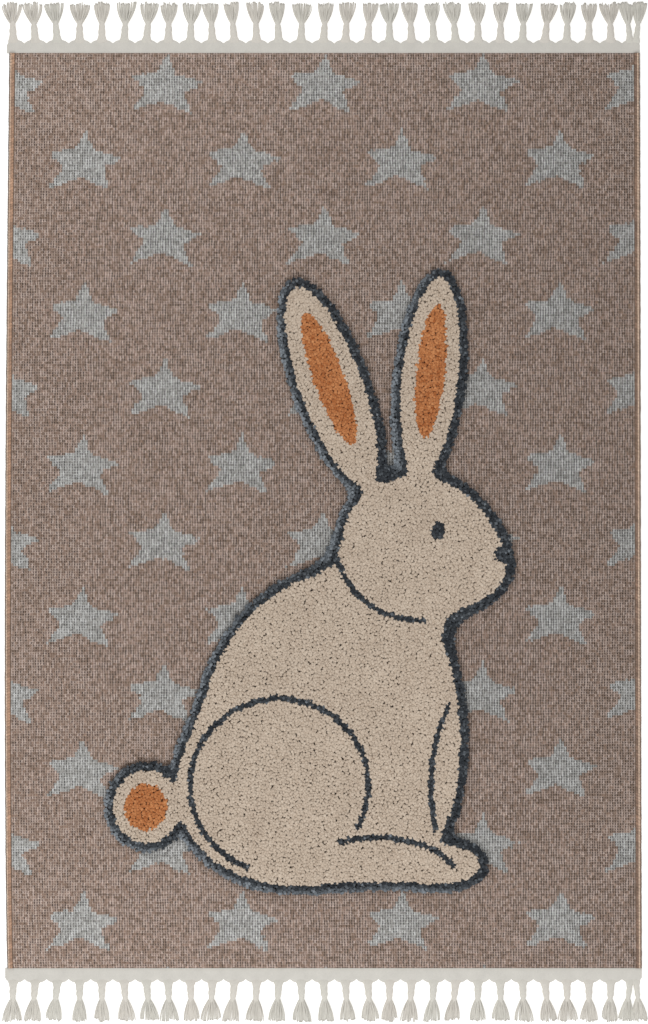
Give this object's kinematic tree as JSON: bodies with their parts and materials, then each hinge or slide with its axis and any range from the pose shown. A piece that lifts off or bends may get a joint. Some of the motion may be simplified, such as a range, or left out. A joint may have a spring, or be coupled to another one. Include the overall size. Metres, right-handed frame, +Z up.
{
  "type": "kids rug with raised pile picture and fringed ends",
  "caption": "Flat rectangular woven rug with a raised pile rabbit picture, stitched sides and a cotton band with knotted tassels on each end.",
  "frame": {"origin": "centre of the cloth's underside, on the floor", "axes": "+Z up from the floor; +Y along the rug towards the top of its picture; +X to the right"},
  "size_m": [1.2151, 1.9239, 0.015],
  "materials": {
    "woven_ground": "flat ribbed weave of taupe and brown melange yarn, with pale blue-grey stars",
    "pile_cream": "matt cream cut pile",
    "pile_slate": "matt dark slate cut pile",
    "pile_orange": "matt terracotta orange cut pile",
    "selvedge_yarn": "overlocked tan and orange yarn",
    "band_cotton": "plain off-white cotton band and tassels"
  },
  "bodies": {
    "root": {"rug_cloth": "woven_ground", "selvedge_left": "selvedge_yarn", "selvedge_right": "selvedge_yarn", "fringe_top": "band_cotton", "fringe_bottom": "band_cotton"}
  },
  "joints": []
}
